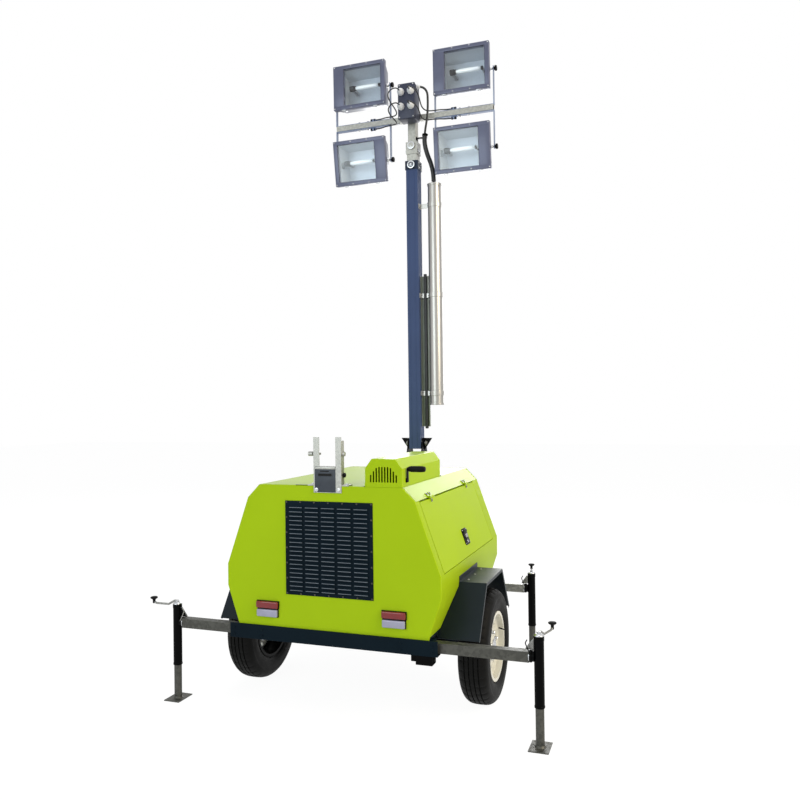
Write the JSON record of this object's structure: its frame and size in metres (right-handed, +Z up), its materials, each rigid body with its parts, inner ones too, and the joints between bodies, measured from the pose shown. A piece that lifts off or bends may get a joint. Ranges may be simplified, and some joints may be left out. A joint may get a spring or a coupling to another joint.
{
  "type": "towable light tower",
  "caption": "Towable light tower: sloped genset enclosure on a two-wheel chassis with pull-out jack legs and a telescoping mast carrying tilting floodlights.",
  "frame": {"origin": "on the ground, under the middle of the overall width and length", "axes": "+Z up, +Y forwards towards the drawbar, +X to the right when looking forwards"},
  "size_m": [2.45, 2.635, 4.3655],
  "materials": {
    "body_green": "satin",
    "frame_navy": "satin",
    "guard_grey": "satin",
    "black_plastic": "matte",
    "black_metal": "satin",
    "galvanised": "brushed",
    "mast_blue": "satin",
    "rim_white": "gloss",
    "tyre_rubber": "matte",
    "lamp_metal": "satin",
    "lamp_glass": "gloss",
    "box_grey": "matte",
    "lens": "gloss",
    "cable_black": "matte",
    "engine_grey": "matte"
  },
  "bodies": {
    "chassis": {"body_floor": "body_green", "body_sides": "body_green", "body_roof": "body_green", "body_rear": "body_green", "body_front": "body_green", "grille": "frame_navy", "roof_hood": "body_green", "winch_crank": "black_plastic", "mast_cradle": "galvanised", "frame_rails": "frame_navy", "frame_cross": "frame_navy", "outrigger_sleeves": "frame_navy", "rear_channel": "frame_navy", "axle": "frame_navy", "mudguards": "guard_grey", "drawbar": "frame_navy", "coupler": "galvanised", "mast_support": "frame_navy", "tail_lamps": "lens", "engine_block": "engine_grey"},
    "wheel_left": {"tyre_left": "tyre_rubber", "rim_left": "rim_white"},
    "wheel_right": {"tyre_right": "tyre_rubber", "rim_right": "rim_white"},
    "door_left": {"door_left": "body_green", "latch_left": "black_plastic"},
    "door_right": {"door_right": "body_green", "latch_right": "black_plastic"},
    "mast_outer": {"mast_outer": "mast_blue", "cable_tube": "galvanised"},
    "mast_middle": {"mast_middle": "mast_blue"},
    "mast_top": {"mast_top": "mast_blue", "light_bar": "galvanised", "junction_box": "box_grey", "lamp_yokes": "black_metal", "mast_cable": "cable_black", "lamp_cable_upper_left": "cable_black", "lamp_cable_upper_right": "cable_black", "lamp_cable_lower_left": "cable_black", "lamp_cable_lower_right": "cable_black"},
    "lamp_upper_left": {"lamp_upper_left": "lamp_metal", "glass_upper_left": "lamp_glass"},
    "lamp_upper_right": {"lamp_upper_right": "lamp_metal", "glass_upper_right": "lamp_glass"},
    "lamp_lower_left": {"lamp_lower_left": "lamp_metal", "glass_lower_left": "lamp_glass"},
    "lamp_lower_right": {"lamp_lower_right": "lamp_metal", "glass_lower_right": "lamp_glass"},
    "outrigger_rear_left": {"beam_rear_left": "galvanised", "jack_rear_left": "black_metal"},
    "leg_rear_left": {"leg_rear_left": "galvanised"},
    "outrigger_rear_right": {"beam_rear_right": "galvanised", "jack_rear_right": "black_metal"},
    "leg_rear_right": {"leg_rear_right": "galvanised"},
    "outrigger_front_left": {"beam_front_left": "galvanised", "jack_front_left": "black_metal"},
    "leg_front_left": {"leg_front_left": "galvanised"},
    "outrigger_front_right": {"beam_front_right": "galvanised", "jack_front_right": "black_metal"},
    "leg_front_right": {"leg_front_right": "galvanised"}
  },
  "joints": [
    {"name": "wheel_left_spin", "type": "hinge", "parent": "chassis", "child": "wheel_left", "pos_m": [-0.744, -0.7255, 0.332], "axis": [1, 0, 0], "continuous": true},
    {"name": "door_left_hinge", "type": "hinge", "parent": "chassis", "child": "door_left", "pos_m": [-0.51948, -0.635, 1.23901], "axis": [0, 1, 0], "range_deg": [0, 80]},
    {"name": "wheel_right_spin", "type": "hinge", "parent": "chassis", "child": "wheel_right", "pos_m": [0.744, -0.7255, 0.332], "axis": [1, 0, 0], "continuous": true},
    {"name": "door_right_hinge", "type": "hinge", "parent": "chassis", "child": "door_right", "pos_m": [0.51948, -0.635, 1.23901], "axis": [0, -1, 0], "range_deg": [0, 80]},
    {"name": "mast_tilt", "type": "hinge", "parent": "chassis", "child": "mast_outer", "pos_m": [0, 0.2775, 1.475], "axis": [-1, 0, 0], "range_deg": [-90, 0]},
    {"name": "mast_middle_slide", "type": "slide", "parent": "mast_outer", "child": "mast_middle", "axis": [0, 0, 1], "range_m": [0, 1.75]},
    {"name": "mast_top_slide", "type": "slide", "parent": "mast_middle", "child": "mast_top", "axis": [0, 0, 1], "range_m": [0, 1.75]},
    {"name": "lamp_upper_left_tilt", "type": "hinge", "parent": "mast_top", "child": "lamp_upper_left", "pos_m": [-0.4, 0.2775, 4.199], "axis": [1, 0, 0], "range_deg": [-45, 45]},
    {"name": "lamp_upper_right_tilt", "type": "hinge", "parent": "mast_top", "child": "lamp_upper_right", "pos_m": [0.4, 0.2775, 4.199], "axis": [1, 0, 0], "range_deg": [-45, 45]},
    {"name": "lamp_lower_left_tilt", "type": "hinge", "parent": "mast_top", "child": "lamp_lower_left", "pos_m": [-0.4, 0.2775, 3.629], "axis": [1, 0, 0], "range_deg": [-45, 45]},
    {"name": "lamp_lower_right_tilt", "type": "hinge", "parent": "mast_top", "child": "lamp_lower_right", "pos_m": [0.4, 0.2775, 3.629], "axis": [1, 0, 0], "range_deg": [-45, 45]},
    {"name": "outrigger_rear_left_slide", "type": "slide", "parent": "chassis", "child": "outrigger_rear_left", "axis": [-1, 0, 0], "range_m": [-0.295, 0.155]},
    {"name": "leg_rear_left_jack", "type": "slide", "parent": "outrigger_rear_left", "child": "leg_rear_left", "axis": [0, 0, -1], "range_m": [-0.185, 0.09]},
    {"name": "outrigger_rear_right_slide", "type": "slide", "parent": "chassis", "child": "outrigger_rear_right", "axis": [1, 0, 0], "range_m": [-0.305, 0.035]},
    {"name": "leg_rear_right_jack", "type": "slide", "parent": "outrigger_rear_right", "child": "leg_rear_right", "axis": [0, 0, -1], "range_m": [-0.185, 0.09]},
    {"name": "outrigger_front_left_slide", "type": "slide", "parent": "chassis", "child": "outrigger_front_left", "axis": [-1, 0, 0], "range_m": [-0.12, 0.33]},
    {"name": "leg_front_left_jack", "type": "slide", "parent": "outrigger_front_left", "child": "leg_front_left", "axis": [0, 0, -1], "range_m": [-0.185, 0.09]},
    {"name": "outrigger_front_right_slide", "type": "slide", "parent": "chassis", "child": "outrigger_front_right", "axis": [1, 0, 0], "range_m": [-0.12, 0.33]},
    {"name": "leg_front_right_jack", "type": "slide", "parent": "outrigger_front_right", "child": "leg_front_right", "axis": [0, 0, -1], "range_m": [-0.185, 0.09]}
  ],
  "couplings": [
    {"joint": "mast_top_slide", "follows": "mast_middle_slide", "ratio": 1}
  ]
}
